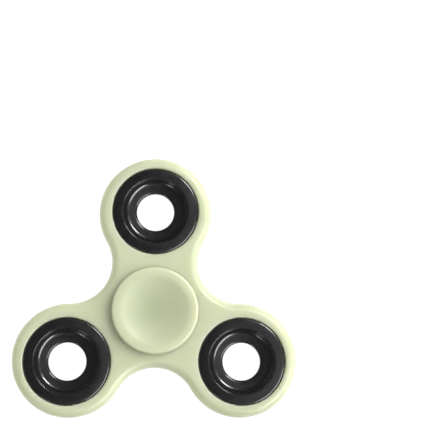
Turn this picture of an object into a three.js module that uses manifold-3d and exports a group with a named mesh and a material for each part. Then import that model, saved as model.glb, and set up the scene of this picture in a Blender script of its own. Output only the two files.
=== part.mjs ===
// A three-lobed fidget spinner, in millimetres, +Z up.
// The origin is the centre of the bearing: the spin axis is Z and the spinner's mid-plane is Z = 0.
// One lobe points along +Y. The two finger caps and the inner race stay still while the moulded body,
// its three weights and the outer race spin round them on seven balls.
import * as THREE from "three";
import { mergeVertices } from "three/addons/utils/BufferGeometryUtils.js";
import Module from "manifold-3d";

const wasm = await Module();
wasm.setup();

// ---- Driving dimensions ---------------------------------------------------------------------

// Moulded body
const LOBES = 3;
const LOBE_PITCH = 26.25; // spin axis to the centre of a lobe's outline
const LOBE_R = 15.1;
const WAIST_R = 11.1; // radius of the hollow between two lobes
const BODY_T = 7.0;
const BODY_ROUND = 2.2; // edge round all along the outline
const BORE_BREAK = 0.35; // chamfer at the mouth of each bore

// Weights
const WEIGHT_PITCH = 26.8; // spin axis to the centre of a weight
const WEIGHT_R = 11.6;
const WEIGHT_T = 7.4;
const WEIGHT_EDGE = 0.65; // round at the outside of the rim
const RIM_FALL = 0.17; // how far the rim drops from its inside to its outside
const SHOULDER = 0.3; // round between the rim and the dish
const DISH_R = 8.7; // the dish at its mouth, inside the shoulder
const DISH_LEAN = 65; // degrees from the floor, at the steepest
const DISH_HOLLOW = 2.0; // radius of the hollow that turns the wall into the floor
const DISH_FLOOR_R = 6.7; // where that hollow has run out
const WEB_T = 2.2; // metal left between the two lips of the hole
const FLOOR_RISE = 0.2; // the floor of the dish above the top of the lip
const WEIGHT_HOLE_R = 5.0;
const HOLE_LIP = 0.7; // round at both mouths of the hole

// Ball bearing: 8 mm bore, 22 mm outside, 7 mm wide
const RACE_R = 11.0;
const BORE_R = 4.0;
const RACE_T = 7.0;
const RACE_EDGE = 0.3;
const BALLS = 7;
const BALL_R = 3.969 / 2;
const PITCH_R = (RACE_R + BORE_R) / 2;
const GROOVE_R = 2.06; // cross-section radius of both ball grooves
const OUTER_LAND_R = 9.1;
const INNER_LAND_R = 6.05;
const PLAY = 0.07; // between a ball and the bottom of a groove, faceting included

// Cage: two pressed ribbons, clinched together between the balls
const RIBBON_T = 0.3;
const RIBBON_INNER_R = 6.6;
const RIBBON_OUTER_R = 8.45;
const POCKET_R = 2.12;

// Shields, and the wire clips that hold them in the outer race
const SHIELD_T = 0.25;
const SHIELD_R = 9.83;
const SHIELD_HOLE_R = 6.3;
const SHIELD_SEAT_Z = 2.6;
const SHIELD_SEAT_R = 9.9;
const SHIELD_STEP = 0.25; // how far the middle of a shield stands out from its flange
const CLIP_WIRE_R = 0.15;
const CLIP_OPENING = 0.5; // radians, centred on +Y
const CLIP_GROOVE = 0.16; // depth of the clip's groove in the outer race
const CLIP_PLAY = 0.02; // above and below the wire in its groove

// Finger caps
const CAP_R = 11.5;
const CAP_UNDER_Z = 4.0;
const CAP_TOP_Z = 5.75;
const CAP_EDGE = 0.7;
const CAP_LAND = 0.8; // flat ring outside the finger dish
const CAP_DISH = 1.4;
const CAP_BLEND = 5.0; // radius of the round between the dish and the flat ring
const BOSS_R = 5.6; // bears on the inner race only
const STEM_R = 3.95;
const PIN_R = 2.0; // on the upper cap, pressed into the socket of the lower one
const PIN_LENGTH = 2.6;
const STEM_BREAK = 0.25; // chamfer at the ends of stems and pin, and room below the pin

const FIT = 0.05; // left between two pieces that are pressed or seated together
const CLIP_Z = SHIELD_SEAT_Z + FIT + SHIELD_T + FIT + CLIP_WIRE_R; // the clip lies on the shield
const TURN_SEGMENTS = 36; // round every turned piece

// ---- Materials ------------------------------------------------------------------------------

const plastic = (color, roughness) => new THREE.MeshStandardMaterial({ color, roughness, metalness: 0 });
const metal = (color, roughness) => new THREE.MeshStandardMaterial({ color, roughness, metalness: 1 });

const glowBody = plastic(0xd3dab2, 0.45);
const glowCap = plastic(0xd6dcbb, 0.42);
const blackEnamel = plastic(0x1b1b1d, 0.16);
const raceSteel = metal(0xb9bcc0, 0.22);
const ballSteel = metal(0xd8dade, 0.08);
const pressedSteel = metal(0xa9a59a, 0.34);
const springSteel = metal(0x8d8f93, 0.3);

// ---- Helpers --------------------------------------------------------------------------------

// Points along an arc in the (radius, height) plane, both ends included.
function arc(centreR, centreZ, radius, fromDegrees, toDegrees, steps) {
  const points = [];
  for (let i = 0; i <= steps; i++) {
    const angle = THREE.MathUtils.degToRad(fromDegrees + ((toDegrees - fromDegrees) * i) / steps);
    points.push([centreR + radius * Math.cos(angle), centreZ + radius * Math.sin(angle)]);
  }
  return points;
}

// A solid of revolution about Z. The profile runs anticlockwise, with the radius to the right.
function turned(profile) {
  const points = profile.map(([radius, height]) => new THREE.Vector2(radius, height));
  return new THREE.LatheGeometry(points, TURN_SEGMENTS).rotateX(Math.PI / 2);
}

// A ring of revolution: its profile closes on itself.
function turnedRing(profile) {
  return turned([...profile, profile[0]]);
}

// The lower half of a profile that is the same above and below the mid-plane, from the upper half.
function mirrored(upper) {
  return upper.map(([radius, height]) => [radius, -height]).reverse();
}

function solidOf(geometry) {
  const bare = geometry.clone().deleteAttribute("normal").deleteAttribute("uv");
  const merged = mergeVertices(bare, 1e-4);
  return new wasm.Manifold(
    new wasm.Mesh({
      numProp: 3,
      vertProperties: merged.attributes.position.array,
      triVerts: new Uint32Array(merged.index.array),
    }),
  );
}

function geometryOf(solid) {
  const mesh = solid.getMesh();
  return new THREE.BufferGeometry()
    .setAttribute("position", new THREE.BufferAttribute(mesh.vertProperties, mesh.numProp))
    .setIndex(new THREE.BufferAttribute(mesh.triVerts, 1));
}

function piece(name, geometry, material) {
  const mesh = new THREE.Mesh(geometry, material);
  mesh.name = name;
  return mesh;
}

// A point in the middle of lobe number index. Lobe 0 points along +Y; the rest follow anticlockwise.
function onLobe(index, pitch) {
  const angle = Math.PI / 2 + (2 * Math.PI * index) / LOBES;
  return new THREE.Vector2(Math.cos(angle), Math.sin(angle)).multiplyScalar(pitch);
}

// ---- Moulded body ---------------------------------------------------------------------------

// Three lobes joined by hollow arcs that are tangent to them.
function bodyOutline() {
  const halfLobe = Math.PI / LOBES;
  const across = LOBE_PITCH * Math.sin(halfLobe);
  const along = LOBE_PITCH * Math.cos(halfLobe);
  const reach = Math.sqrt((LOBE_R + WAIST_R) ** 2 - across ** 2);
  const waistPitch = along + reach; // spin axis to the centre of a waist's arc
  const turn = Math.atan2(reach, across); // where lobe and waist touch, seen from the waist's centre
  const shape = new THREE.Shape();
  for (let index = 0; index < LOBES; index++) {
    const facing = Math.PI / 2 + (2 * Math.PI * index) / LOBES;
    const lobe = onLobe(index, LOBE_PITCH);
    const lobeHalf = Math.PI / 2 + halfLobe - turn;
    shape.absarc(lobe.x, lobe.y, LOBE_R, facing - lobeHalf, facing + lobeHalf, false);
    const waistFacing = facing + halfLobe;
    const waistX = waistPitch * Math.cos(waistFacing);
    const waistY = waistPitch * Math.sin(waistFacing);
    const waistHalf = Math.PI / 2 - turn;
    const inward = waistFacing + Math.PI;
    shape.absarc(waistX, waistY, WAIST_R, inward + waistHalf, inward - waistHalf, true);
  }
  return shape;
}

// What a drill and a countersink take out for one bore, with mouths at both faces of the body.
function boreCutter(radius) {
  const face = BODY_T / 2;
  const beyond = 1;
  const upper = [
    [radius, face - BORE_BREAK],
    [radius + BORE_BREAK + beyond, face + beyond],
    [0, face + beyond],
  ];
  return turned([...mirrored(upper), ...upper]);
}

function spinnerBody() {
  const blank = new THREE.ExtrudeGeometry(bodyOutline(), {
    depth: BODY_T - 2 * BODY_ROUND,
    curveSegments: 9,
    bevelThickness: BODY_ROUND,
    bevelSize: BODY_ROUND,
    bevelOffset: -BODY_ROUND,
    bevelSegments: 3,
  }).translate(0, 0, BODY_ROUND - BODY_T / 2);
  let solid = solidOf(blank).subtract(solidOf(boreCutter(RACE_R + FIT)));
  for (let index = 0; index < LOBES; index++) {
    const centre = onLobe(index, WEIGHT_PITCH);
    const cutter = boreCutter(WEIGHT_R + FIT).translate(centre.x, centre.y, 0);
    solid = solid.subtract(solidOf(cutter));
  }
  return piece("spinner_body", geometryOf(solid), glowBody);
}

// ---- Weights --------------------------------------------------------------------------------

// A cast ring, dished on both faces down to a thin web round its hole.
function weightGeometry() {
  const top = WEIGHT_T / 2;
  const web = WEB_T / 2;
  const dishFloor = web + FLOOR_RISE;
  const upper = [
    ...arc(WEIGHT_R - WEIGHT_EDGE, top - RIM_FALL - WEIGHT_EDGE, WEIGHT_EDGE, 0, 90, 2),
    ...arc(DISH_R + SHOULDER, top - SHOULDER, SHOULDER, 90, 90 + DISH_LEAN, 1),
    ...arc(DISH_FLOOR_R, dishFloor + DISH_HOLLOW, DISH_HOLLOW, DISH_LEAN - 90, -90, 4),
    ...arc(WEIGHT_HOLE_R + HOLE_LIP, web - HOLE_LIP, HOLE_LIP, 90, 180, 2),
  ];
  return turnedRing([...upper, ...mirrored(upper)]);
}

function weights() {
  const geometry = weightGeometry();
  return Array.from({ length: LOBES }, (_, index) => {
    const weight = piece(`weight_ring_${index + 1}`, geometry, blackEnamel);
    const centre = onLobe(index, WEIGHT_PITCH);
    weight.position.set(centre.x, centre.y, 0);
    return weight;
  });
}

// ---- Ball bearing ---------------------------------------------------------------------------

// Half the angle that a ball groove covers, in degrees, up to a land that stands off the groove's centre.
function grooveHalfAngle(standOff) {
  return THREE.MathUtils.radToDeg(Math.acos(standOff / GROOVE_R));
}

function outerRace() {
  const face = RACE_T / 2;
  const clipLow = CLIP_Z - CLIP_WIRE_R - CLIP_PLAY;
  const clipHigh = CLIP_Z + CLIP_WIRE_R + CLIP_PLAY;
  const clipGrooveR = SHIELD_SEAT_R + CLIP_GROOVE;
  const grooveCentre = PITCH_R + BALL_R + PLAY - GROOVE_R;
  const half = grooveHalfAngle(OUTER_LAND_R - grooveCentre);
  const upper = [
    [RACE_R, face - RACE_EDGE],
    [RACE_R - RACE_EDGE, face],
    [SHIELD_SEAT_R, face],
    [SHIELD_SEAT_R, clipHigh],
    [clipGrooveR, clipHigh],
    [clipGrooveR, clipLow],
    [SHIELD_SEAT_R, clipLow],
    [SHIELD_SEAT_R, SHIELD_SEAT_Z],
    [OUTER_LAND_R, SHIELD_SEAT_Z],
  ];
  const groove = arc(grooveCentre, 0, GROOVE_R, half, -half, 6);
  return piece("bearing_outer_race", turnedRing([...upper, ...groove, ...mirrored(upper)]), raceSteel);
}

function innerRace() {
  const face = RACE_T / 2;
  const edge = 0.2;
  const grooveCentre = PITCH_R - BALL_R - PLAY + GROOVE_R;
  const half = grooveHalfAngle(grooveCentre - INNER_LAND_R);
  const upper = [
    [INNER_LAND_R, face - edge],
    [INNER_LAND_R - edge, face],
    [BORE_R + edge, face],
    [BORE_R, face - edge],
  ];
  const groove = arc(grooveCentre, 0, GROOVE_R, 180 + half, 180 - half, 6);
  return piece("bearing_inner_race", turnedRing([...groove, ...upper, ...mirrored(upper)]), raceSteel);
}

function ballAngle(index) {
  return Math.PI / 2 + (2 * Math.PI * index) / BALLS;
}

function balls() {
  const geometry = new THREE.IcosahedronGeometry(BALL_R, 2);
  return Array.from({ length: BALLS }, (_, index) => {
    const ball = piece(`bearing_ball_${index + 1}`, geometry, ballSteel);
    ball.position.set(PITCH_R * Math.cos(ballAngle(index)), PITCH_R * Math.sin(ballAngle(index)), 0);
    return ball;
  });
}

// Height of a ribbon's inner surface above the mid-plane at a distance along the pitch circle from
// the nearest ball: an arc round the ball, and flat between two pockets.
function ribbonHeight(distance, pocketR, flat) {
  return Math.max(flat, Math.sqrt(Math.max(0, pocketR ** 2 - distance ** 2)));
}

// One pressed ribbon, as a closed ring of four-cornered sections. side is +1 for the upper one.
function cageRibbon(name, side) {
  const flat = FIT / 2;
  const outerPocketR = POCKET_R + RIBBON_T;
  const stations = []; // distances from a ball, across one ball's share of the pitch circle
  const share = (2 * Math.PI * PITCH_R) / BALLS;
  const pocketSteps = 10;
  for (let i = 0; i <= pocketSteps; i++) {
    stations.push(-outerPocketR * Math.cos((Math.PI * i) / pocketSteps));
  }
  const sections = [];
  for (let ball = 0; ball < BALLS; ball++) {
    for (const distance of [...stations, share / 2]) {
      const angle = ballAngle(ball) + distance / PITCH_R;
      const under = ribbonHeight(distance, POCKET_R, flat);
      const over = ribbonHeight(distance, outerPocketR, flat + RIBBON_T);
      const heights = side > 0 ? [under, over] : [-over, -under];
      sections.push({ angle, low: heights[0], high: heights[1] });
    }
  }
  const positions = [];
  const indices = [];
  sections.forEach(({ angle, low, high }, i) => {
    const corners = [
      [RIBBON_INNER_R, low],
      [RIBBON_OUTER_R, low],
      [RIBBON_OUTER_R, high],
      [RIBBON_INNER_R, high],
    ];
    corners.forEach(([radius, height], corner) => {
      positions.push(radius * Math.cos(angle), radius * Math.sin(angle), height);
      const next = (corner + 1) % corners.length;
      const ahead = ((i + 1) % sections.length) * corners.length;
      const here = i * corners.length;
      indices.push(here + corner, ahead + corner, ahead + next);
      indices.push(here + corner, ahead + next, here + next);
    });
  });
  const geometry = new THREE.BufferGeometry()
    .setAttribute("position", new THREE.Float32BufferAttribute(positions, 3))
    .setIndex(indices);
  return piece(name, geometry, pressedSteel);
}

// A pressed steel shield: a flange in the outer race and a raised middle that clears the inner one.
function shield(name, side) {
  const low = SHIELD_SEAT_Z + FIT;
  const stepOuterR = 9.2;
  const stepInnerR = 8.9;
  const above = [
    [SHIELD_R, low + SHIELD_T],
    [stepOuterR, low + SHIELD_T],
    [stepInnerR, low + SHIELD_T + SHIELD_STEP],
    [SHIELD_HOLE_R, low + SHIELD_T + SHIELD_STEP],
  ];
  const under = [
    [SHIELD_HOLE_R, low + SHIELD_STEP],
    [stepInnerR, low + SHIELD_STEP],
    [stepOuterR, low],
    [SHIELD_R, low],
  ];
  const profile = [...above, ...under];
  return piece(name, turnedRing(side > 0 ? profile : mirrored(profile)), pressedSteel);
}

// An open wire ring that snaps into the groove above a shield.
class ClipCurve extends THREE.Curve {
  constructor(radius, height) {
    super();
    this.radius = radius;
    this.height = height;
  }
  getPoint(t, target = new THREE.Vector3()) {
    const angle = Math.PI / 2 + CLIP_OPENING / 2 + t * (2 * Math.PI - CLIP_OPENING);
    return target.set(this.radius * Math.cos(angle), this.radius * Math.sin(angle), this.height);
  }
}

function shieldClip(name, side) {
  const wire = new THREE.Shape();
  wire.absarc(0, 0, CLIP_WIRE_R, 0, 2 * Math.PI, false);
  const geometry = new THREE.ExtrudeGeometry(wire, {
    steps: 36,
    curveSegments: 3,
    extrudePath: new ClipCurve(SHIELD_SEAT_R - CLIP_WIRE_R / 2, side * CLIP_Z),
  });
  return piece(name, geometry, springSteel);
}

// ---- Finger caps ----------------------------------------------------------------------------

// From the axis out across the finger dish, over the flat ring and down to the cap's underside.
function capFace() {
  const dishR = CAP_R - CAP_EDGE - CAP_LAND;
  const reach = (dishR ** 2 + CAP_DISH ** 2) / (2 * CAP_DISH); // dish and blend radii together
  const lean = THREE.MathUtils.radToDeg(Math.asin(dishR / reach));
  const sphereR = reach - CAP_BLEND;
  const underBreak = 0.2;
  const dish = arc(0, CAP_TOP_Z - CAP_DISH + sphereR, sphereR, -90, -90 + lean, 4);
  dish[0][0] = 0;
  return [
    ...dish,
    ...arc(dishR, CAP_TOP_Z - CAP_BLEND, CAP_BLEND, 90 + lean, 90, 3).slice(1),
    ...arc(CAP_R - CAP_EDGE, CAP_TOP_Z - CAP_EDGE, CAP_EDGE, 90, 0, 3),
    [CAP_R, CAP_UNDER_Z + underBreak],
    [CAP_R - underBreak, CAP_UNDER_Z],
    [BOSS_R, CAP_UNDER_Z],
    [BOSS_R, RACE_T / 2 + FIT],
    [STEM_R, RACE_T / 2 + FIT],
  ];
}

function upperCap() {
  const stemEnd = FIT / 2;
  const stem = [
    [STEM_R, stemEnd + STEM_BREAK],
    [STEM_R - STEM_BREAK, stemEnd],
    [PIN_R, stemEnd],
    [PIN_R, STEM_BREAK - PIN_LENGTH],
    [PIN_R - STEM_BREAK, -PIN_LENGTH],
    [0, -PIN_LENGTH],
  ];
  return piece("finger_cap_upper", turned([...capFace(), ...stem].reverse()), glowCap);
}

function lowerCap() {
  const stemEnd = -FIT / 2;
  const socketR = PIN_R + FIT;
  const outside = capFace().map(([radius, height]) => [radius, -height]);
  const stem = [
    [STEM_R, stemEnd - STEM_BREAK],
    [STEM_R - STEM_BREAK, stemEnd],
    [socketR + STEM_BREAK, stemEnd],
    [socketR, stemEnd - STEM_BREAK],
    [socketR, -PIN_LENGTH - STEM_BREAK],
    [0, -PIN_LENGTH - STEM_BREAK],
  ];
  return piece("finger_cap_lower", turned([...outside, ...stem]), glowCap);
}

// ---- Assembly -------------------------------------------------------------------------------

const spinner = new THREE.Group();
spinner.add(spinnerBody(), ...weights());
spinner.add(outerRace(), innerRace(), ...balls());
spinner.add(cageRibbon("bearing_cage_upper", 1), cageRibbon("bearing_cage_lower", -1));
spinner.add(shield("bearing_shield_upper", 1), shield("bearing_shield_lower", -1));
spinner.add(shieldClip("shield_clip_upper", 1), shieldClip("shield_clip_lower", -1));
spinner.add(upperCap(), lowerCap());

export default spinner;
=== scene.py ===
"""The looks of the three-lobed fidget spinner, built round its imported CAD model.

Metres, +Z up. The spin axis is Z, the bearing's centre is the origin and one lobe points along +Y.
Every CAD node is replaced by a smooth piece of the same size that rides on the same body.
"""

import math

import bmesh
import bpy
from mathutils import Matrix, Vector
from mathutils.geometry import delaunay_2d_cdt


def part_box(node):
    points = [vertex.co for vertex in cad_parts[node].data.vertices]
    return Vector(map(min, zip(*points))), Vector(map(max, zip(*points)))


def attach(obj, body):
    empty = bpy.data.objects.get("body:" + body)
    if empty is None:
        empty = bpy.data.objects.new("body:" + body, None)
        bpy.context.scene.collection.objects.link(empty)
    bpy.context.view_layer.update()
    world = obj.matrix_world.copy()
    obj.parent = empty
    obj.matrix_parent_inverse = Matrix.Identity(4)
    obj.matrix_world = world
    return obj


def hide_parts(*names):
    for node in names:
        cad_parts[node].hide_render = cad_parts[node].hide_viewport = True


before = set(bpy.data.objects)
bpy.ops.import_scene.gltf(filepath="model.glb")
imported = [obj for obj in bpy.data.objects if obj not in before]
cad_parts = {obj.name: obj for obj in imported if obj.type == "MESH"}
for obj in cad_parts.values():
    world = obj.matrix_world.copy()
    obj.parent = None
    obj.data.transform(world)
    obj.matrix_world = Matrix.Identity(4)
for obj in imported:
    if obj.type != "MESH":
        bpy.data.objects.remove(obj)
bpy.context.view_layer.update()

MM = 0.001
TAU = 2 * math.pi


# ---- Sizes read from the frame --------------------------------------------------------------


def centre_of(node):
    low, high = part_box(node)
    return (low + high) / 2


def radius_of(node):
    low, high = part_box(node)
    return (high.x - low.x) / 2


def top_of(node):
    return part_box(node)[1].z


WEIGHTS = ["weight_ring_1", "weight_ring_2", "weight_ring_3"]
BALLS = [f"bearing_ball_{number}" for number in range(1, 8)]

BODY_FACE = top_of("spinner_body")
LOBE_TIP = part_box("spinner_body")[1].y
WEIGHT_R = radius_of("weight_ring_1")
WEIGHT_FACE = top_of("weight_ring_1")
RACE_R = radius_of("bearing_outer_race")
RACE_FACE = top_of("bearing_outer_race")
INNER_LAND_R = radius_of("bearing_inner_race")
PITCH_R = centre_of("bearing_ball_1").xy.length
RIBBON_OUTER_R = radius_of("bearing_cage_upper")
SHIELD_R = radius_of("bearing_shield_upper")
SHIELD_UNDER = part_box("bearing_shield_upper")[0].z
SHIELD_TOP = top_of("bearing_shield_upper")
CLIP_Z = centre_of("shield_clip_upper").z
CAP_R = radius_of("finger_cap_upper")
CAP_TOP = top_of("finger_cap_upper")
PIN_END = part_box("finger_cap_upper")[0].z
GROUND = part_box("finger_cap_lower")[0].z

# ---- Sizes of details that the boxes don't give ---------------------------------------------

LOBE_R = 15.1 * MM
LOBE_PITCH = LOBE_TIP - LOBE_R
WAIST_R = 11.1 * MM
BODY_ROUND = 2.2 * MM
SEAM_PROUD = 0.03 * MM  # the mould's parting line
SEAM_FOOT = 0.1 * MM  # half width
SEAM_CREST = 0.04 * MM  # half width
BORE_LIP = 0.35 * MM
FIT = 0.05 * MM  # the gap that stands for a press fit

WEIGHT_HOLE_R = 5.0 * MM
WEIGHT_EDGE = 0.65 * MM
RIM_LEAN = (2, 8)  # degrees that the rim leans outwards at its inside and at its outside
SHOULDER = 0.3 * MM
HOLE_LIP = 0.7 * MM
WEB_HALF = 1.1 * MM  # half the thickness at the lip of the hole
FLOOR_RISE = 0.2 * MM  # from there to the floor of the dish
DISH_R = 8.7 * MM
DISH_FLOOR_R = 6.7 * MM
DISH_HOLLOW = 2.0 * MM
DISH_LEAN = 65  # degrees from the floor, at the steepest

BORE_R = 4.0 * MM
OUTER_LAND_R = 9.1 * MM
OUTER_RACE_EDGE = 0.3 * MM
INNER_RACE_EDGE = 0.2 * MM
BALL_R = 3.969 / 2 * MM
GROOVE_R = 2.06 * MM
GROOVE_PLAY = 0.07 * MM
RIBBON_T = 0.3 * MM
RIBBON_INNER_R = 6.6 * MM
POCKET_R = 2.12 * MM
SHIELD_T = 0.25 * MM
SHIELD_HOLE_R = 6.3 * MM
SHIELD_SEAT_R = 9.9 * MM
SHIELD_STEP_OUTER_R = 9.2 * MM
SHIELD_STEP_INNER_R = 8.9 * MM
CLIP_WIRE_R = 0.15 * MM
CLIP_PLAY = 0.02 * MM
CLIP_GROOVE = 0.16 * MM
CLIP_OPENING = 0.5  # radians, centred on +Y

CAP_UNDER = 4.0 * MM  # height of the underside of the disc
CAP_EDGE = 0.7 * MM
CAP_UNDER_EDGE = 0.25 * MM
CAP_LAND = 0.8 * MM
CAP_DISH = 1.4 * MM
CAP_BLEND = 5.0 * MM  # radius between the dish and the flat rim
BOSS_R = 5.6 * MM
STEM_R = 3.95 * MM
STEM_BREAK = 0.25 * MM
PIN_R = 2.0 * MM

# ---- How finely the meshes are made ----------------------------------------------------------

SMOOTH_ANGLE = math.radians(38)
WELD = 0.0005 * MM
ON_AXIS = 1e-6 * MM
FACE_GRID = 1.3 * MM
WIDE_STEPS = 128  # segments round a bore, a weight or a cap
NARROW_STEPS = 96  # segments round a race or a shield
BALL_STEPS = 32


# ---- Mesh helpers ---------------------------------------------------------------------------


def arc(centre_r, centre_z, radius, from_degrees, to_degrees, steps):
    """Points along an arc in the (radius, height) plane, both ends included."""
    points = []
    for i in range(steps + 1):
        angle = math.radians(from_degrees + (to_degrees - from_degrees) * i / steps)
        points.append((centre_r + radius * math.cos(angle), centre_z + radius * math.sin(angle)))
    return points


def flipped(profile):
    """The same profile mirrored in the mid-plane, still running anticlockwise."""
    return [(radius, -height) for radius, height in reversed(profile)]


def add_piece(name, vertices, faces, body, node, material, at=(0, 0, 0)):
    """A smooth welded mesh that rides on a body and stands for a CAD node."""
    mesh = bpy.data.meshes.new(name)
    mesh.from_pydata(vertices, [], faces)
    weld = bmesh.new()
    weld.from_mesh(mesh)
    bmesh.ops.remove_doubles(weld, verts=weld.verts, dist=WELD)
    bmesh.ops.recalc_face_normals(weld, faces=weld.faces)
    weld.to_mesh(mesh)
    weld.free()
    mesh.shade_smooth()
    mesh.set_sharp_from_angle(angle=SMOOTH_ANGLE)
    mesh.materials.append(material)
    piece = bpy.data.objects.new(name, mesh)
    bpy.context.scene.collection.objects.link(piece)
    piece.matrix_world = Matrix.Translation(at)
    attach(piece, body)
    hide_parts(node)


def lathe(profile, segments):
    """Vertices and faces of a solid of revolution about Z. A profile that touches the axis at both
    ends is a solid; any other closes on itself as a ring."""
    solid = profile[0][0] < ON_AXIS and profile[-1][0] < ON_AXIS
    vertices, rings = [], []
    for radius, height in profile:
        if radius < ON_AXIS:
            rings.append([len(vertices)] * segments)
            vertices.append((0.0, 0.0, height))
            continue
        rings.append(list(range(len(vertices), len(vertices) + segments)))
        for i in range(segments):
            angle = TAU * i / segments
            vertices.append((radius * math.cos(angle), radius * math.sin(angle), height))
    pairs = list(zip(rings, rings[1:]))
    if not solid:
        pairs.append((rings[-1], rings[0]))
    faces = []
    for low, high in pairs:
        for i in range(segments):
            j = (i + 1) % segments
            corners = [low[i], low[j], high[j], high[i]]
            face = [corner for k, corner in enumerate(corners) if corner != corners[k - 1]]
            faces.append(face)
    return vertices, faces


# ---- Materials ------------------------------------------------------------------------------


class Finish:
    """A Principled material, and the nodes that vary it over a surface."""

    def __init__(self, name, **settings):
        self.material = bpy.data.materials.new(name)
        self.material.use_nodes = True
        self.nodes = self.material.node_tree.nodes
        self.links = self.material.node_tree.links
        self.shader = self.nodes["Principled BSDF"]
        self.place = self.nodes.new("ShaderNodeTexCoord").outputs["Object"]
        self.normal = None
        for socket, value in settings.items():
            self.shader.inputs[socket.replace("_", " ")].default_value = value

    def noise(self, scale, detail=2.0, roughness=0.5, place=None, seed=0.0):
        node = self.nodes.new("ShaderNodeTexNoise")
        node.noise_dimensions = "4D"
        node.inputs["W"].default_value = seed
        node.inputs["Scale"].default_value = scale
        node.inputs["Detail"].default_value = detail
        node.inputs["Roughness"].default_value = roughness
        self.links.new(place or self.place, node.inputs["Vector"])
        return node.outputs["Fac"]

    def spread(self, value, low, high, start=0.3, end=0.7):
        """value, which mostly lies between start and end, spread over low to high."""
        node = self.nodes.new("ShaderNodeMapRange")
        self.links.new(value, node.inputs["Value"])
        for socket, number in (("From Min", start), ("From Max", end), ("To Min", low), ("To Max", high)):
            node.inputs[socket].default_value = number
        return node.outputs["Result"]

    def blend(self, share, first, second):
        """A colour between two, each a colour or another node's output."""
        node = self.nodes.new("ShaderNodeMix")
        node.data_type = "RGBA"
        self.links.new(share, node.inputs["Factor"])
        for socket, colour in (("A", first), ("B", second)):
            target = next(i for i in node.inputs if i.name == socket and i.type == "RGBA")
            if isinstance(colour, tuple):
                target.default_value = (*colour, 1.0)
            else:
                self.links.new(colour, target)
        return next(o for o in node.outputs if o.type == "RGBA")

    def relief(self, height, depth, strength=1.0):
        """Adds a bump whose full height is depth, in metres, on top of those added before."""
        node = self.nodes.new("ShaderNodeBump")
        node.inputs["Distance"].default_value = depth
        node.inputs["Strength"].default_value = strength
        self.links.new(height, node.inputs["Height"])
        if self.normal:
            self.links.new(self.normal, node.inputs["Normal"])
        self.normal = node.outputs["Normal"]

    def from_axis(self):
        """The distance from the piece's own Z axis."""
        flat = self.nodes.new("ShaderNodeVectorMath")
        flat.operation = "MULTIPLY"
        flat.inputs[1].default_value = (1.0, 1.0, 0.0)
        self.links.new(self.place, flat.inputs[0])
        length = self.nodes.new("ShaderNodeVectorMath")
        length.operation = "LENGTH"
        self.links.new(flat.outputs["Vector"], length.inputs[0])
        return length.outputs["Value"]

    def from_plane(self):
        """The distance from the piece's own mid-plane."""
        size = self.nodes.new("ShaderNodeVectorMath")
        size.operation = "ABSOLUTE"
        self.links.new(self.place, size.inputs[0])
        split = self.nodes.new("ShaderNodeSeparateXYZ")
        self.links.new(size.outputs["Vector"], split.inputs["Vector"])
        return split.outputs["Z"]

    def rings(self, pitch, seed=0.0):
        """Noise that changes with the distance from the piece's own axis and with height only:
        the marks that a lathe or a grinding wheel leaves."""
        split = self.nodes.new("ShaderNodeSeparateXYZ")
        self.links.new(self.place, split.inputs["Vector"])
        join = self.nodes.new("ShaderNodeCombineXYZ")
        self.links.new(self.from_axis(), join.inputs["X"])
        self.links.new(split.outputs["Z"], join.inputs["Z"])
        return self.noise(1 / pitch, detail=3.0, place=join.outputs["Vector"], seed=seed)

    def done(self, colour=None, roughness=None):
        for name, value in (("Base Color", colour), ("Roughness", roughness), ("Normal", self.normal)):
            if value:
                self.links.new(value, self.shader.inputs[name])
        return self.material


def glow_plastic(name, pale, deep, seed, scatter):
    """Moulded ABS loaded with phosphorescent pigment, seen by daylight: pale yellow-green, slightly
    cloudy, with a fine grain of pigment and the satin of a spark-eroded mould. Returns the finish, its
    colour and its roughness."""
    finish = Finish(
        name,
        Subsurface_Weight=0.8,
        Subsurface_Radius=(1.0, 1.0, 0.7),
        Subsurface_Scale=scatter,
        IOR=1.53,
        Coat_Weight=0.12,
        Coat_Roughness=0.22,
    )
    cloud = finish.noise(95, detail=3.0, seed=seed)
    grain = finish.noise(3400, detail=1.0, seed=seed + 1)
    colour = finish.blend(finish.spread(cloud, 0.0, 1.0), pale, deep)
    tan = (1.01 * pale[0], 0.95 * pale[1], 0.93 * pale[2])
    patches = finish.spread(finish.noise(48, seed=seed + 5), 0.0, 0.4, 0.48, 0.62)
    colour = finish.blend(patches, colour, tan)
    dark = tuple(0.9 * channel for channel in deep)
    colour = finish.blend(finish.spread(grain, 0.0, 0.35, 0.52, 0.8), colour, dark)
    finish.relief(finish.noise(140, detail=1.0, seed=seed + 2), 0.05 * MM, 0.5)
    finish.relief(finish.noise(5200, detail=2.0, seed=seed + 3), 0.008 * MM, 0.4)
    rough = finish.spread(finish.noise(260, detail=4.0, seed=seed + 4), 0.3, 0.42)
    return finish, colour, rough


def body_plastic():
    """The flat faces are painted darker round the steel bearing than at the rounded edge: painted shade
    for the cap's shadow and for the bearing, which lets no light through, while the rounded edge, where
    the light comes in, keeps the lighter colour."""
    pale, deep = (0.635, 0.68, 0.475), (0.605, 0.645, 0.435)
    # painted shade: the colour of the flat face next to the cap
    painted_shade_colour = (0.585, 0.625, 0.43)
    finish, colour, rough = glow_plastic("glow_body_plastic", pale, deep, seed=1, scatter=3.5 * MM)
    # how much painted shade: full at 12 mm from the axis, none from 17 mm
    painted_shade_near_cap = finish.spread(finish.from_axis(), 1.0, 0.0, start=12 * MM, end=17 * MM)
    on_face = finish.spread(finish.from_plane(), 0.0, 1.0, start=BODY_FACE - 1.0 * MM, end=BODY_FACE)
    # the face painted with shade near the cap, kept off the rounded edge by on_face
    face = finish.blend(painted_shade_near_cap, colour, painted_shade_colour)
    return finish.done(finish.blend(on_face, colour, face), rough)


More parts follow.
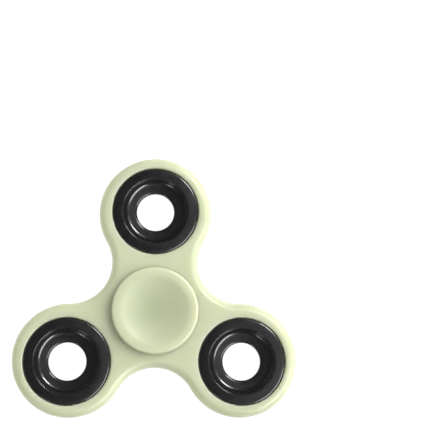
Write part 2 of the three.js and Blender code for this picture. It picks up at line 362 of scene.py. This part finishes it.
def cap_plastic():
    """A thinner moulding of the same plastic, painted darker over the steel bearing than at the rim:
    painted shade for the light that the bearing under the disc takes in."""
    pale, deep = (0.695, 0.74, 0.53), (0.665, 0.705, 0.49)
    # painted shade: the colour of the cap over the middle of the bearing
    painted_shade_colour = (0.48, 0.52, 0.335)
    finish, colour, rough = glow_plastic("glow_cap_plastic", pale, deep, seed=6, scatter=1.6 * MM)
    # how much painted shade: full at 2 mm from the axis, none from 12.5 mm
    painted_shade_over_bearing = finish.spread(finish.from_axis(), 1.0, 0.0, start=2 * MM, end=12.5 * MM)
    return finish.done(finish.blend(painted_shade_over_bearing, colour, painted_shade_colour), rough)


def black_enamel():
    """Stoved gloss enamel over a cast ring: faint orange peel, and the casting's unevenness under it."""
    finish = Finish("black_enamel", IOR=1.5, Coat_Weight=0.8, Coat_Roughness=0.1)
    dark, light = (0.0030, 0.0030, 0.0036), (0.0050, 0.0050, 0.0060)
    cloud = finish.noise(300, detail=3.0, seed=11)
    colour = finish.blend(finish.spread(cloud, 0.0, 1.0), dark, light)
    finish.relief(finish.noise(420, detail=2.0, seed=12), 0.008 * MM, 0.5)
    finish.relief(finish.noise(1500, detail=1.0, seed=13), 0.003 * MM, 0.5)
    rough = finish.spread(finish.noise(700, detail=4.0, seed=14), 0.24, 0.36)
    return finish.done(colour, rough)


def ground_steel(name, pale, deep, rough, pitch, seed):
    """Steel turned, ground or pressed about the piece's axis, with marks of about that pitch."""
    finish = Finish(name, Metallic=1.0)
    marks = finish.rings(pitch, seed)
    haze = finish.noise(500, detail=3.0, seed=seed + 1)
    colour = finish.blend(finish.spread(haze, 0.0, 1.0), pale, deep)
    finish.relief(marks, 0.004 * MM, 0.5)
    return finish.done(colour, finish.spread(marks, rough - 0.06, rough + 0.1))


BODY_PLASTIC = body_plastic()
CAP_PLASTIC = cap_plastic()
ENAMEL = black_enamel()
RACE_STEEL = ground_steel("race_steel", (0.50, 0.52, 0.55), (0.42, 0.44, 0.47), 0.22, 0.12 * MM, 21)
BALL_STEEL = ground_steel("ball_steel", (0.70, 0.72, 0.75), (0.64, 0.66, 0.69), 0.09, 0.4 * MM, 31)
PRESSED_STEEL = ground_steel("pressed_steel", (0.42, 0.40, 0.36), (0.34, 0.32, 0.28), 0.32, 0.5 * MM, 41)
SPRING_STEEL = ground_steel("spring_steel", (0.30, 0.30, 0.32), (0.22, 0.22, 0.24), 0.3, 0.1 * MM, 51)


# ---- Moulded body ---------------------------------------------------------------------------


def outline(inset, lobe_steps=84, waist_steps=36):
    """The body's outline, moved in by inset: three lobes joined by hollow arcs tangent to them. Each
    span is the pitch and bearing of an arc's centre, its radius, and where it starts, sweeps and how
    many points it has."""
    half_lobe = TAU / 6
    across = LOBE_PITCH * math.sin(half_lobe)
    reach = math.sqrt((LOBE_R + WAIST_R) ** 2 - across**2)
    waist_pitch = LOBE_PITCH * math.cos(half_lobe) + reach
    waist_half = math.atan2(across, reach)
    lobe_half = half_lobe + waist_half
    points = []
    for index in range(3):
        facing = TAU / 4 + TAU * index / 3
        spans = (
            (LOBE_PITCH, facing, LOBE_R - inset, facing - lobe_half, 2 * lobe_half, lobe_steps),
            (
                waist_pitch,
                facing + half_lobe,
                WAIST_R + inset,
                facing + half_lobe + math.pi + waist_half,
                -2 * waist_half,
                waist_steps,
            ),
        )
        for pitch, towards, radius, start, sweep, steps in spans:
            centre = Vector((math.cos(towards), math.sin(towards))) * pitch
            for i in range(steps):
                angle = start + sweep * i / steps
                points.append(centre + Vector((math.cos(angle), math.sin(angle))) * radius)
    return points


def circle(centre, radius, steps):
    return [
        centre + Vector((math.cos(TAU * i / steps), math.sin(TAU * i / steps))) * radius
        for i in range(steps)
    ]


def body_edge():
    """(inset, height) down the outside of the body, from its top face to its bottom face."""
    straight = BODY_FACE - BODY_ROUND
    upper = [(BODY_ROUND - x, z) for x, z in arc(0, straight, BODY_ROUND, 90, 0, 10)]
    seam = [(0, SEAM_FOOT), (-SEAM_PROUD, SEAM_CREST), (-SEAM_PROUD, -SEAM_CREST), (0, -SEAM_FOOT)]
    lower = [(inset, -z) for inset, z in reversed(upper)]
    return upper + seam + lower


def bore_wall(radius):
    """(radius, height) down the wall of a bore, with a rounded lip at both mouths."""
    upper = arc(radius + BORE_LIP, BODY_FACE - BORE_LIP, BORE_LIP, 90, 180, 4)
    return upper + [(r, -z) for r, z in reversed(upper)]


def middle_of(points):
    return sum(points, Vector((0, 0))) / len(points)


def inside(point, polygon):
    """Whether a point lies inside a closed polygon."""
    hit = False
    for a, b in zip(polygon, polygon[1:] + polygon[:1]):
        if (a.y > point.y) != (b.y > point.y):
            if point.x < (b.x - a.x) * (point.y - a.y) / (b.y - a.y) + a.x:
                hit = not hit
    return hit


def face_mesh(rims):
    """Triangles over the flat face between its rims, the outer one first, on a regular grid."""
    points, edges = [], []
    for rim in rims:
        first = len(points)
        points += rim
        edges += [(first + i, first + (i + 1) % len(rim)) for i in range(len(rim))]
    reach = LOBE_PITCH + LOBE_R
    half_count = math.ceil(reach / FACE_GRID)
    row = FACE_GRID * math.sqrt(3) / 2
    keep_out = 0.6 * FACE_GRID  # from the points of the rims
    outer = rims[0]
    for iy in range(-half_count * 2, half_count * 2 + 1):
        for ix in range(-half_count, half_count + 1):
            point = Vector(((ix + 0.5 * (iy % 2)) * FACE_GRID, iy * row))
            if point.length > reach:
                continue
            clear = all((point - other).length > keep_out for rim in rims for other in rim)
            if clear and inside(point, outer):
                points.append(point)
    every_triangle, tolerance = 0, 0.0001 * MM
    result = delaunay_2d_cdt(points, edges, [], every_triangle, tolerance)
    vertices, triangles = result[0], result[2]
    holes = []
    for rim in rims[1:]:
        centre = middle_of(rim)
        holes.append((centre, (rim[0] - centre).length * 0.9999))
    kept = []
    for triangle in triangles:
        middle = middle_of([vertices[i] for i in triangle])
        in_hole = any((middle - centre).length < radius for centre, radius in holes)
        if not in_hole and inside(middle, outer):
            kept.append(list(triangle))
    return vertices, kept


def make_body():
    bores = [(Vector((0, 0)), RACE_R + FIT)]
    bores += [(centre_of(node).xy, WEIGHT_R + FIT) for node in WEIGHTS]
    edge = body_edge()
    vertices, faces = [], []

    def skin(rows, inward):
        """Quads between matching closed rows of points."""
        first = len(vertices)
        size = len(rows[0][0])
        for points, height in rows:
            vertices.extend((p.x, p.y, height) for p in points)
        for k in range(len(rows) - 1):
            for i in range(size):
                j = (i + 1) % size
                a, b = first + k * size + i, first + k * size + j
                quad = [a, a + size, b + size, b]
                faces.append(quad if not inward else quad[::-1])

    skin([(outline(inset), height) for inset, height in edge], inward=False)
    for centre, radius in bores:
        wall = bore_wall(radius)
        skin([(circle(centre, r, WIDE_STEPS), height) for r, height in wall], inward=True)
    rims = [outline(edge[0][0])]
    rims += [circle(centre, bore_wall(radius)[0][0], WIDE_STEPS) for centre, radius in bores]
    flat, triangles = face_mesh(rims)
    for side in (1, -1):
        first = len(vertices)
        vertices.extend((p.x, p.y, side * BODY_FACE) for p in flat)
        faces.extend([first + i for i in triangle[::side]] for triangle in triangles)
    node = "spinner_body"
    add_piece(node + "_smooth", vertices, faces, "rotor", node, BODY_PLASTIC)


# ---- Weights --------------------------------------------------------------------------------


def weight_profile():
    """Rounded edge, gently falling rim, rounded shoulder, steep wall, hollow floor and rounded lip, on
    both faces."""
    outer, inner = WEIGHT_R - WEIGHT_EDGE, DISH_R + SHOULDER
    lean_in, lean_out = RIM_LEAN
    sin_in, sin_out = math.sin(math.radians(lean_in)), math.sin(math.radians(lean_out))
    rim_radius = (outer - inner + WEIGHT_EDGE * sin_out - SHOULDER * sin_in) / (sin_out - sin_in)
    shoulder_z = WEIGHT_FACE - SHOULDER
    rim_r = inner - (rim_radius - SHOULDER) * sin_in
    rim_z = shoulder_z - (rim_radius - SHOULDER) * math.cos(math.radians(lean_in))
    edge_z = rim_z + (rim_radius - WEIGHT_EDGE) * math.cos(math.radians(lean_out))
    floor = WEB_HALF + FLOOR_RISE
    upper = [
        *arc(outer, edge_z, WEIGHT_EDGE, 0, 90 - lean_out, 6),
        *arc(rim_r, rim_z, rim_radius, 90 - lean_out, 90 - lean_in, 8)[1:-1],
        *arc(inner, shoulder_z, SHOULDER, 90 - lean_in, 90 + DISH_LEAN, 6),
        *arc(DISH_FLOOR_R, floor + DISH_HOLLOW, DISH_HOLLOW, DISH_LEAN - 90, -90, 12),
        *arc(WEIGHT_HOLE_R + HOLE_LIP, WEB_HALF - HOLE_LIP, HOLE_LIP, 90, 180, 6),
    ]
    return upper + flipped(upper)


def make_weights():
    profile = weight_profile()
    for node in WEIGHTS:
        centre = centre_of(node)
        vertices, faces = lathe(profile, WIDE_STEPS)
        vertices = [(x + centre.x, y + centre.y, z) for x, y, z in vertices]
        add_piece(node + "_smooth", vertices, faces, "rotor", node, ENAMEL)


# ---- Ball bearing ---------------------------------------------------------------------------


def groove(side):
    """The ball groove of the outer race (side 1) or the inner race (side -1)."""
    centre = PITCH_R + side * (BALL_R + GROOVE_PLAY - GROOVE_R)
    land = OUTER_LAND_R if side > 0 else INNER_LAND_R
    half = math.degrees(math.acos(abs(land - centre) / GROOVE_R))
    towards = 0 if side > 0 else 180
    return arc(centre, 0, GROOVE_R, towards + half, towards - half, 14)


def make_races():
    edge = OUTER_RACE_EDGE
    clip_low, clip_high = CLIP_Z - CLIP_WIRE_R - CLIP_PLAY, CLIP_Z + CLIP_WIRE_R + CLIP_PLAY
    clip_groove_r = SHIELD_SEAT_R + CLIP_GROOVE
    seat = SHIELD_UNDER - FIT
    upper = [
        *arc(RACE_R - edge, RACE_FACE - edge, edge, 0, 90, 4),
        (SHIELD_SEAT_R, RACE_FACE),
        (SHIELD_SEAT_R, clip_high),
        (clip_groove_r, clip_high),
        (clip_groove_r, clip_low),
        (SHIELD_SEAT_R, clip_low),
        (SHIELD_SEAT_R, seat),
        (OUTER_LAND_R, seat),
    ]
    vertices, faces = lathe(upper + groove(1) + flipped(upper), NARROW_STEPS)
    add_piece("outer_race_smooth", vertices, faces, "rotor", "bearing_outer_race", RACE_STEEL)
    edge = INNER_RACE_EDGE
    upper = [
        *arc(INNER_LAND_R - edge, RACE_FACE - edge, edge, 0, 90, 3),
        *arc(BORE_R + edge, RACE_FACE - edge, edge, 90, 180, 3),
    ]
    vertices, faces = lathe(groove(-1) + upper + flipped(upper), NARROW_STEPS)
    add_piece("inner_race_smooth", vertices, faces, "hub", "bearing_inner_race", RACE_STEEL)


def make_balls():
    profile = arc(0, 0, BALL_R, -90, 90, 20)
    profile[0], profile[-1] = (0, -BALL_R), (0, BALL_R)
    vertices, faces = lathe(profile, BALL_STEPS)
    for index, node in enumerate(BALLS):
        body = f"ball_{index + 1}"
        add_piece(node + "_smooth", vertices, faces, body, node, BALL_STEEL, centre_of(node))


def make_cage():
    """Two pressed ribbons: a round pocket over each ball, and flat between two pockets."""
    count = len(BALLS)
    share = TAU * PITCH_R / count
    outer_pocket = POCKET_R + RIBBON_T
    gap = share - 2 * outer_pocket
    flat = FIT / 2
    pocket_steps, gap_steps = 24, 4
    stations = [-outer_pocket * math.cos(math.pi * i / pocket_steps) for i in range(pocket_steps + 1)]
    stations += [outer_pocket + gap * i / gap_steps for i in range(1, gap_steps)]

    def height(distance, pocket, base):
        """Of a ribbon's surface, at a distance along the pitch circle from a ball."""
        nearest = min(abs(distance), abs(share - distance))
        return max(base, math.sqrt(max(0.0, pocket**2 - nearest**2)))

    for name, side in (("upper", 1), ("lower", -1)):
        vertices, faces = [], []
        for ball in range(count):
            for distance in stations:
                angle = TAU / 4 + TAU * ball / count + distance / PITCH_R
                low = height(distance, POCKET_R, flat)
                high = height(distance, outer_pocket, flat + RIBBON_T)
                for radius, z in (
                    (RIBBON_INNER_R, low),
                    (RIBBON_OUTER_R, low),
                    (RIBBON_OUTER_R, high),
                    (RIBBON_INNER_R, high),
                ):
                    vertices.append((radius * math.cos(angle), radius * math.sin(angle), side * z))
        sections = len(vertices) // 4
        for i in range(sections):
            here, ahead = 4 * i, 4 * ((i + 1) % sections)
            for k in range(4):
                quad = [here + k, ahead + k, ahead + (k + 1) % 4, here + (k + 1) % 4]
                faces.append(quad[::side])
        node = f"bearing_cage_{name}"
        add_piece(node + "_smooth", vertices, faces, "cage", node, PRESSED_STEEL)


def make_shields():
    """Dished washers: clamped at the outside, and a step higher inside."""
    low, high = SHIELD_UNDER, SHIELD_TOP
    profile = [
        (SHIELD_R, low),
        (SHIELD_R, low + SHIELD_T),
        (SHIELD_STEP_OUTER_R, low + SHIELD_T),
        (SHIELD_STEP_INNER_R, high),
        (SHIELD_HOLE_R, high),
        (SHIELD_HOLE_R, high - SHIELD_T),
        (SHIELD_STEP_INNER_R, high - SHIELD_T),
        (SHIELD_STEP_OUTER_R, low),
    ]
    for name, shape in (("upper", profile), ("lower", flipped(profile))):
        vertices, faces = lathe(shape, NARROW_STEPS)
        node = f"bearing_shield_{name}"
        add_piece(node + "_smooth", vertices, faces, "rotor", node, PRESSED_STEEL)


def make_clips():
    """Open wire rings, with flat ends, that hold the shields in the outer race."""
    steps, sides = 80, 10
    radius = SHIELD_SEAT_R - CLIP_WIRE_R / 2
    for name, side in (("upper", 1), ("lower", -1)):
        vertices, faces = [], []
        for i in range(steps + 1):
            angle = TAU / 4 + CLIP_OPENING / 2 + (TAU - CLIP_OPENING) * i / steps
            for k in range(sides):
                turn = TAU * k / sides
                reach = radius + CLIP_WIRE_R * math.cos(turn)
                height = side * CLIP_Z + CLIP_WIRE_R * math.sin(turn)
                vertices.append((reach * math.cos(angle), reach * math.sin(angle), height))
        for i in range(steps):
            for k in range(sides):
                here, ahead, after = i * sides, (i + 1) * sides, (k + 1) % sides
                faces.append([here + k, ahead + k, ahead + after, here + after])
        faces.append(list(range(sides)))
        faces.append(list(range(steps * sides, (steps + 1) * sides))[::-1])
        node = f"shield_clip_{name}"
        add_piece(node + "_smooth", vertices, faces, "rotor", node, SPRING_STEEL)


# ---- Finger caps ----------------------------------------------------------------------------


def cap_face():
    """(radius, height) from the middle of the finger dish outwards, over the rim, in under the disc
    and down to the race."""
    dish_r = CAP_R - CAP_EDGE - CAP_LAND
    reach = (dish_r**2 + CAP_DISH**2) / (2 * CAP_DISH)  # the radii of dish and blend together
    lean = math.degrees(math.asin(dish_r / reach))
    sphere_r = reach - CAP_BLEND
    under = CAP_UNDER_EDGE
    points = arc(0, CAP_TOP - CAP_DISH + sphere_r, sphere_r, -90, -90 + lean, 20)
    points[0] = (0, CAP_TOP - CAP_DISH)
    points += arc(dish_r, CAP_TOP - CAP_BLEND, CAP_BLEND, 90 + lean, 90, 8)[1:]
    points += arc(CAP_R - CAP_EDGE, CAP_TOP - CAP_EDGE, CAP_EDGE, 90, 0, 6)
    points += arc(CAP_R - under, CAP_UNDER + under, under, 0, -90, 3)
    points += [(BOSS_R, CAP_UNDER), (BOSS_R, RACE_FACE + FIT), (STEM_R, RACE_FACE + FIT)]
    return points


def make_caps():
    """The two stems meet in the middle of the bore, where the upper cap's pin goes on into the lower
    cap's socket."""
    tip = STEM_BREAK
    upper = cap_face() + [
        (STEM_R, FIT / 2 + tip),
        (STEM_R - tip, FIT / 2),
        (PIN_R, FIT / 2),
        (PIN_R, PIN_END + tip),
        (PIN_R - tip, PIN_END),
        (0, PIN_END),
    ]
    socket_r = PIN_R + FIT
    lower = [(radius, -height) for radius, height in cap_face()] + [
        (STEM_R, -FIT / 2 - tip),
        (STEM_R - tip, -FIT / 2),
        (socket_r + tip, -FIT / 2),
        (socket_r, -FIT / 2 - tip),
        (socket_r, PIN_END - tip),
        (0, PIN_END - tip),
    ]
    for name, profile in (("upper", upper[::-1]), ("lower", lower)):
        vertices, faces = lathe(profile, WIDE_STEPS)
        node = f"finger_cap_{name}"
        add_piece(node + "_smooth", vertices, faces, "hub", node, CAP_PLASTIC)


# ---- Floor, light and camera ----------------------------------------------------------------


def stage_piece(name, vertices, faces, emission):
    """A surface that shines white by itself, so that no shadow shows on it, and throws little of the
    studio's light back."""
    finish = Finish(
        name,
        Base_Color=(0.15, 0.15, 0.15, 1),
        Roughness=0.8,
        Emission_Color=(1, 1, 1, 1),
        Emission_Strength=emission,
    )
    mesh = bpy.data.meshes.new(name)
    mesh.from_pydata(vertices, [], faces)
    mesh.materials.append(finish.done())
    piece = bpy.data.objects.new(name, mesh)
    bpy.context.scene.collection.objects.link(piece)
    return piece


def make_stage():
    """A pale floor, and a pale dome over it that only the camera sees, behind low views."""
    reach = 3.0
    corners = [(x * reach, y * reach, GROUND) for x, y in ((-1, -1), (1, -1), (1, 1), (-1, 1))]
    stage_piece("floor", corners, [(0, 1, 2, 3)], emission=1.0)
    dome = arc(0, GROUND, reach, 0, 90, 12)
    dome[-1] = (0, GROUND + reach)
    vertices, faces = lathe([(0, GROUND - MM), *dome], 64)
    backdrop = stage_piece("backdrop", vertices, faces, emission=0.8)
    backdrop.visible_diffuse = False
    backdrop.visible_glossy = False
    backdrop.visible_transmission = False
    backdrop.visible_shadow = False


def make_softbox(name, bearing, elevation, distance, width, height, watts, roll=0):
    """A soft light at a bearing (degrees from +X towards +Y), facing the spinner."""
    light = bpy.data.lights.new(name, "AREA")
    light.shape = "RECTANGLE"
    light.size, light.size_y, light.energy = width, height, watts
    lamp = bpy.data.objects.new(name, light)
    a, e = math.radians(bearing), math.radians(elevation)
    lamp.location = Vector((math.cos(a) * math.cos(e), math.sin(a) * math.cos(e), math.sin(e))) * distance
    away = lamp.location.to_track_quat("Z", "Y").to_matrix()
    lamp.rotation_euler = (away @ Matrix.Rotation(math.radians(roll), 3, "Z")).to_euler()
    bpy.context.scene.collection.objects.link(lamp)
    return lamp


def make_light():
    """Wide soft lights close by, the strongest from the right, that shade the pieces but don't mirror in
    their gloss, and smaller lights further off that only mirror in it."""
    world = bpy.data.worlds.new("studio")
    world.use_nodes = True
    background = world.node_tree.nodes["Background"]
    background.inputs["Color"].default_value = (1.0, 1.0, 1.0, 1)
    background.inputs["Strength"].default_value = 0.13
    bpy.context.scene.world = world
    for name, bearing, elevation, watts in (
        ("window", 14, 33, 14.0),
        ("dome", 0, 88, 2.7),
        ("fill", 178, 28, 2.7),
    ):
        lamp = make_softbox(name, bearing, elevation, distance=0.9, width=1.2, height=0.9, watts=watts)
        lamp.visible_glossy = False
    distance = 2.4
    for name, bearing, elevation, width, height, watts, roll in (
        ("overhead", -48, 64, 2.8, 1.4, 2.7, 0),
        ("zenith", 20, 79, 1.1, 0.8, 0.62, 0),
        ("strip", -40, 43, 2.0, 0.6, 46, 26),
        ("key", 48, 46, 0.6, 0.5, 30, 0),
        ("kicker", 237, 14, 0.56, 0.32, 4.4, 0),
    ):
        lamp = make_softbox(name, bearing, elevation, distance, width, height, watts, roll)
        lamp.visible_diffuse = False
    bpy.context.scene.view_settings.view_transform = "Standard"


def make_camera():
    """Nearly overhead, from the near side, with the spinner in the lower left of the view."""
    data = bpy.data.cameras.new("camera")
    data.sensor_width = 36.0
    data.lens = 104.65
    camera = bpy.data.objects.new("camera", data)
    place = Vector((-0.6, -19.8, 337.1)) * MM
    aim = Vector((16.0, 25.8, 3.7)) * MM
    forward = (aim - place).normalized()
    right = forward.cross(Vector((0, 1, 0))).normalized()
    up = right.cross(forward)
    camera.matrix_world = Matrix.Translation(place) @ Matrix((right, up, -forward)).transposed().to_4x4()
    data.clip_start, data.clip_end = 0.01, 10
    bpy.context.scene.collection.objects.link(camera)
    bpy.context.scene.camera = camera


make_body()
make_weights()
make_races()
make_balls()
make_cage()
make_shields()
make_clips()
make_caps()
make_stage()
make_light()
make_camera()
